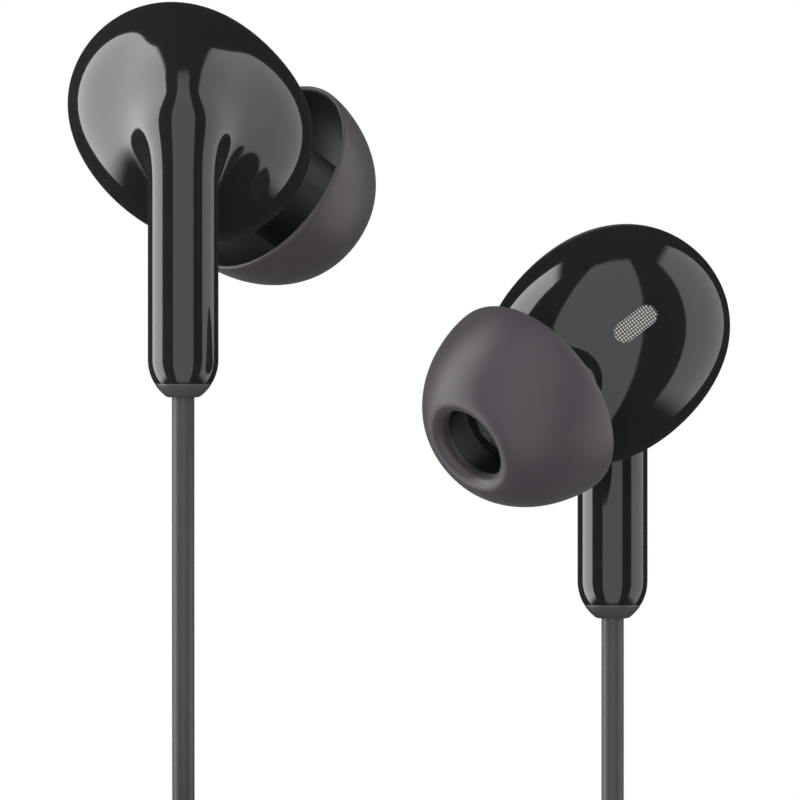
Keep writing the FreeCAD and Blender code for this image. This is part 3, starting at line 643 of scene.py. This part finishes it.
def layers(node, count):
    """The heights of a coil's layers, from the top down."""
    low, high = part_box(node)
    thick = (high[2] - low[2]) / count
    return [high[2] - thick * (i + 0.5) for i in range(count)]


def coil_turns(start, end, turns, inner, outer, heights):
    """Points of a coil's turns: clockwise from above, in and out again on alternate layers. start and end
    are bearings in degrees of the cord's points before and after the coil."""
    sweep = 360 * turns + (start - end)
    steps = round(sweep / 360 * POINTS_PER_TURN)
    points = []
    for i in range(1, steps):
        part = i / steps * len(heights)
        layer = min(int(part), len(heights) - 1)
        inward = part - layer
        if layer % 2:
            inward = 1 - inward
        radius = outer + (inner - outer) * inward
        # the cord steps from one layer to the next over the last tenth of its turns there
        step = max(0.0, (part - layer - 0.9) / 0.1) if layer + 1 < len(heights) else 0.0
        height = heights[layer] + (heights[min(layer + 1, len(heights) - 1)] - heights[layer]) * step
        bearing = math.radians(start - sweep * i / steps)
        spot = Vector((radius * math.cos(bearing), radius * math.sin(bearing), height))
        points.append(coil_middle + spot)
    return points


def cord_curve(name, points, diameter):
    """A cord as a round-bevelled spline with the route's points as its control points."""
    curve = bpy.data.curves.new(name, "CURVE")
    curve.dimensions = "3D"
    curve.bevel_depth = diameter / 2
    curve.bevel_resolution = 6
    curve.resolution_u = 10
    curve.use_fill_caps = True
    spline = curve.splines.new("NURBS")
    spline.points.add(len(points) - 1)
    for spot, point in zip(spline.points, points):
        spot.co = (*point, 1)
    spline.order_u = 3
    spline.use_endpoint_u = True
    piece = bpy.data.objects.new(name, curve)
    bpy.context.scene.collection.objects.link(piece)
    return piece


left_route = (
    mm((-9.415, -15.696, -8.1), (-9.415, -15.696, -40.5), (-9.6, 13.6, -47.6), (-9.9, 17.8, -47.9))
    + coil_turns(165, 195, 3, BRANCH_INNER_TURN, ring_outer - BRANCH_DIAMETER / 2, layers("left_coil", 2))
    + mm((-9.9, 10.2, -49.3), (-12.3, 18.4, -49.4), (-13.8, 27.4, -53.4), (-10.6, 34.9, -58.4),
         (-3.0, 34.9, -58.4)))
right_route = (
    mm((18.285, -1.696, -22.42), (18.285, -1.696, -40.2), (18.285, -1.696, -44.5), (0.9, -3.0, -50.95),
       (-4.1, 1.9, -51.0))
    + coil_turns(234.9, 181.5, 3, BRANCH_INNER_TURN, ring_outer - BRANCH_DIAMETER / 2,
                 layers("right_coil", 2))
    + mm((-10.4, 13.6, -52.1), (-11.0, 21.8, -52.15), (-12.4, 27.0, -55.4), (-9.5, 33.1, -58.4),
         (-3.0, 33.1, -58.4)))
main_route = (
    mm((12.0, 34.0, -58.4), (19.2, 34.0, -58.4), (23.4, 28.2, -56.2), (22.1, 21.2, -54.2),
       (18.7, 14.9, -54.0))
    + coil_turns(3.6, 59.7, 11, MAIN_INNER_TURN, ring_outer - MAIN_DIAMETER / 2, layers("main_coil", 4))
    + mm((11.7, 26.5, -60.0), (18.0, 25.2, -60.0), (22.5, 19.2, -58.2), (22.6, 10.6, -57.6),
         (22.6, 2.0, -57.6)))

# Thermoplastic elastomer drawn over the conductors: an even charcoal satin, a little dusty.
jacket, tree, shader = new_material("satin_tpe_jacket", IOR=1.49)
patchy(tree, shader, 1.0, "383939", "3e3f3f", 0.44, 0.54, 0.004)
left_cord = cord_curve("left_cord", left_route, BRANCH_DIAMETER)
right_cord = cord_curve("right_cord", right_route, BRANCH_DIAMETER)
main_cord = cord_curve("main_cord", main_route, MAIN_DIAMETER)
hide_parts("left_lead", "left_coil", "left_tail")
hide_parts("right_lead", "right_coil", "right_tail")
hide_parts("main_head", "main_coil", "main_tail")
for piece in (left_cord, right_cord, main_cord):
    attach(piece, "earphones")
    piece.data.materials.append(jacket)

# ---- Y moulding, plug and tie ---------------------------------------------------------------------------
# The three cords meet in a moulding of TPE shot over their joint. The main one ends in a 3.5 mm plug: gold-
# plated brass poles with black insulating bands, a moulded grip and a soft strain relief. A woven
# hook-and-loop strap holds the spare cord in its coil.
moulded_tpe, tree, shader = new_material("moulded_tpe", IOR=1.49)
patchy(tree, shader, 0.9, "262628", "2c2c2e", 0.4, 0.52, 0.004)
gold, tree, shader = new_material("gold_plated_brass", Metallic=1.0)
patchy(tree, shader, 1.5, "d9ac5a", "e3b968", 0.12, 0.22, 0.001)
band, tree, shader = new_material("black_acetal_band", IOR=1.48)
patchy(tree, shader, 0.5, "131314", "19191a", 0.25, 0.35, 0.002)


def grooved(radius_low, radius_high, low, high, count, depth):
    """Outline points of a run with that many round grooves: its radius changes evenly from end to end."""
    points = []
    pitch = (high - low) / count
    for number in range(count):
        for across, share in ((0.25, 0.0), (0.38, 0.75), (0.5, 1.0), (0.62, 0.75), (0.75, 0.0)):
            height = low + (number + across) * pitch
            radius = radius_low + (radius_high - radius_low) * (height - low) / (high - low)
            points.append((radius - share * depth, height))
    return points


def moulding(node, outline, low_end, direction):
    """A round moulding that is spun from its outline, which starts at low_end, and stands for its node."""
    turn = direction.to_track_quat("Z", "Y").to_matrix().to_4x4()
    piece = spun(node + "_moulding", outline, 64, Matrix.Translation(low_end) @ turn, closed=False)
    paint(piece, moulded_tpe)
    stands_for(piece, node)
    return piece


def node_middle(node):
    """The middle of a node's box."""
    low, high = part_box(node)
    return (Vector(low) + Vector(high)) / 2


splitter_middle, grip_middle, relief_middle = (node_middle(name) for name in
                                               ("splitter", "plug_grip", "plug_relief"))
splitter = moulding("splitter", [(0, 0), (1.9, 0), (2.35, 0.12), (2.56, 0.45)]
                    + grooved(2.58, 2.58, 0.8, 8.0, 6, 0.16)
                    + [(2.56, 8.4), (2.40, 9.4), (1.98, 12.0), (1.60, 14.2), (1.45, 14.8), (1.2, 15.0),
                       (0, 15.0)],
                    Vector((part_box("splitter")[0][0], splitter_middle.y, splitter_middle.z)),
                    Vector((1, 0, 0)))
grip = moulding("plug_grip", [(0, 0), (2.5, 0), (2.75, 0.08), (2.95, 0.3), (3.3, 2.2), (3.38, 3.2)]
                + grooved(3.38, 3.38, 3.6, 13.8, 9, 0.2)
                + [(3.36, 14.4), (3.2, 15.8), (2.9, 16.6), (2.5, 17.0), (0, 17.0)],
                Vector((grip_middle.x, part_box("plug_grip")[0][1], grip_middle.z)),
                Vector((0, 1, 0)))
relief = moulding("plug_relief", [(0, 0.02), (2.15, 0.02)] + grooved(2.15, 1.5, 0.3, 6.9, 5, 0.45)
                  + [(1.46, 7.3), (1.38, 7.8), (1.2, 8.0), (0, 8.0)],
                  Vector((relief_middle.x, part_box("plug_relief")[0][1], relief_middle.z)),
                  Vector((0, 1, 0)))
plug_nodes = ("plug_sleeve", "plug_ring", "plug_tip", "plug_outer_band", "plug_inner_band")
for node, material in zip(plug_nodes, (gold, gold, gold, band, band)):
    cad[node].material_slots[0].material = material

# the strap goes once round the coil's section, and its end lies over its start on the outside
STRAP_WALL, STRAP_WIDE, STRAP_ROUND = 0.5, 3.0, 2.0
TIE_INSIDE, TIE_OUTSIDE = 7.1, 16.4      # its inner and outer distance from the coil's middle
TIE_TURN = math.radians(-45)
STRAP_EDGE = 0.12      # the width of its softened edges
TAB_GAP, TAB_SHARE, TAB_ROUND = 0.02, 0.5, 0.9      # its end: air under it, share of its height, corners
tie_low, tie_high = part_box("coil_tie")


def chosen(piece, kind, elements, test):
    """Opens a piece in edit mode with only the faces or edges that pass the test selected."""
    picked(piece)
    bpy.ops.object.mode_set(mode="EDIT")
    bpy.ops.mesh.select_mode(type=kind)
    bpy.ops.mesh.select_all(action="DESELECT")
    bpy.ops.object.mode_set(mode="OBJECT")
    for element in elements:
        element.select = test(element)
    bpy.ops.object.mode_set(mode="EDIT")


def strap_part(radial, size, axis, offset, segments):
    """A box of strap at a distance from the coil's middle. Its edges along one axis are rounded over."""
    deselected()
    bpy.ops.mesh.primitive_cube_add(size=MM, location=Vector((radial, 0, 0)) * MM
                                    + Vector((0, 0, (tie_low[2] + tie_high[2]) / 2)), scale=size)
    part = bpy.context.object
    bpy.ops.object.transform_apply(location=True, scale=True)
    corners = part.data.vertices

    def along_axis(edge):
        run = corners[edge.vertices[0]].co - corners[edge.vertices[1]].co
        return abs(run[axis]) > 0.9 * run.length

    chosen(part, "EDGE", part.data.edges, along_axis)
    bpy.ops.mesh.bevel(offset=offset * MM, segments=segments, affect="EDGES")
    bpy.ops.object.mode_set(mode="OBJECT")
    return part


tie_height = (tie_high[2] - tie_low[2]) / MM
loop = strap_part((TIE_INSIDE + TIE_OUTSIDE) / 2, (TIE_OUTSIDE - TIE_INSIDE, STRAP_WIDE, tie_height),
                  1, STRAP_ROUND, 8)
chosen(loop, "FACE", loop.data.polygons, lambda face: abs(face.normal.y) > 0.9)
bpy.ops.mesh.delete(type="ONLY_FACE")
bpy.ops.object.mode_set(mode="OBJECT")
with_modifier(loop, "SOLIDIFY", thickness=STRAP_WALL * MM, offset=-1, use_even_offset=True)
tab = strap_part(TIE_OUTSIDE + TAB_GAP + STRAP_WALL / 2, (STRAP_WALL, STRAP_WIDE, tie_height * TAB_SHARE),
                 0, TAB_ROUND, 5)
tie = joined("coil_strap", [loop, tab])
with_modifier(tie, "BEVEL", width=STRAP_EDGE * MM, segments=2, limit_method="ANGLE",
              angle_limit=math.radians(50))
placed(tie, Matrix.Translation(coil_middle) @ Matrix.Rotation(TIE_TURN, 4, "Z"))

# Woven nylon webbing: crossing ribs of yarn, 0.35 mm apart, with a dry sheen.
YARN_SPACING = 0.35
webbing, tree, shader = new_material("woven_nylon_webbing", Sheen_Weight=0.3)
patchy(tree, shader, 0.5, "1b1b1d", "29292c", 0.75, 0.9, 0.05)
place = add_node(tree, "ShaderNodeTexCoord").outputs["Object"]
turned = add_node(tree, "ShaderNodeMapping", {"Rotation": (0, 0, -TIE_TURN)}, {"Vector": place})
yarn_scale = math.pi / (10 * YARN_SPACING * MM)
ribs = [add_node(tree, "ShaderNodeTexWave", {"bands_direction": axis, "Scale": yarn_scale},
                 {"Vector": turned.outputs["Vector"]}).outputs["Fac"] for axis in ("Y", "Z")]
crossed = add_node(tree, "ShaderNodeMath", {"operation": "MULTIPLY"})
for socket, rib in zip(crossed.inputs, ribs):
    tree.links.new(rib, socket)
weave = add_node(tree, "ShaderNodeBump", {"Distance": 0.08 * MM}, {"Height": crossed.outputs["Value"]})
tree.links.new(weave.outputs["Normal"], shader.inputs["Normal"])
paint(tie, webbing)
stands_for(tie, "coil_tie")

# ---- Floor and light ------------------------------------------------------------------------------------
# A plain pale floor and three tall softboxes: a bright one from the left and a little behind, a dimmer one
# from the right and a soft one from the front. The room round them is dark, so the gloss stays deep.
deselected()
bpy.ops.mesh.primitive_circle_add(vertices=96, radius=1.1, fill_type="NGON",
                                  location=(0, 0, cad_box[0][2] - 0.0001))
floor = bpy.context.object
floor.name = "floor"
pale, tree, shader = new_material("pale_paper", Roughness=0.8)
patchy(tree, shader, 40.0, "f0f0f0", "f4f4f4", 0.78, 0.85, 0.02)
floor.data.materials.append(pale)

SOFTBOX_DISTANCE = 0.7
END_FADE = 0.14      # the share of a softbox's height over which its light rises at either end


def softbox(name, azimuths, elevations, radiance):
    """A tall upright area light that fills a range of directions: azimuths in degrees, to the right of
    straight in front, and elevations above level."""
    middle = math.radians(sum(azimuths) / 2)
    half = math.radians(azimuths[1] - azimuths[0]) / 2
    low, high = (SOFTBOX_DISTANCE * math.tan(math.radians(angle)) for angle in elevations)
    light = bpy.data.lights.new(name, "AREA")
    light.shape = "RECTANGLE"
    light.size = 2 * SOFTBOX_DISTANCE * math.tan(half)
    light.size_y = high - low
    light.energy = radiance * math.pi * light.size * light.size_y
    light.use_nodes = True
    emission = light.node_tree.nodes["Emission"]
    place = add_node(light.node_tree, "ShaderNodeNewGeometry").outputs["Parametric"]
    height = add_node(light.node_tree, "ShaderNodeSeparateXYZ", None, {"Vector": place}).outputs["Y"]
    from_end = add_node(light.node_tree, "ShaderNodeMath", {"operation": "PINGPONG"}, {"Value": height})
    from_end.inputs[1].default_value = 0.5
    fade = add_node(light.node_tree, "ShaderNodeMapRange",
                    {"interpolation_type": "SMOOTHSTEP", "From Max": END_FADE},
                    {"Value": from_end.outputs["Value"]})
    light.node_tree.links.new(fade.outputs["Result"], emission.inputs["Strength"])
    lamp = bpy.data.objects.new(name, light)
    bpy.context.scene.collection.objects.link(lamp)
    lamp.location = view_middle + Vector((SOFTBOX_DISTANCE * math.sin(middle),
                                          -SOFTBOX_DISTANCE * math.cos(middle), (low + high) / 2))
    lamp.rotation_euler = (math.radians(90), 0, middle)
    lamp.visible_camera = False


# polished faces mirror the softboxes and the right ear tip alone: the buds don't darken each other, and
# their undersides stay as dark as over a black gap
for piece in list(bpy.data.objects):
    if piece.type in ("MESH", "CURVE"):
        piece.visible_glossy = piece is right_tip
softbox("left_softbox", (-118, -71), (-44, 63), 5.0)
softbox("right_softbox", (65, 121), (-44, 63), 1.8)
softbox("front_softbox", (-33, 33), (-66, 75), 1.47)

world = bpy.data.worlds.new("studio")
bpy.context.scene.world = world
world.use_nodes = True
tree = world.node_tree
seen = add_node(tree, "ShaderNodeLightPath").outputs["Is Camera Ray"]
backdrop = tree.nodes["Background"]
room = add_node(tree, "ShaderNodeMix", {"data_type": "RGBA"}, {"Factor": seen})
room.inputs[6].default_value = (0.03, 0.03, 0.032, 1)
room.inputs[7].default_value = (1, 1, 1, 1)
tree.links.new(room.outputs[2], backdrop.inputs["Color"])

bpy.context.view_layer.update()
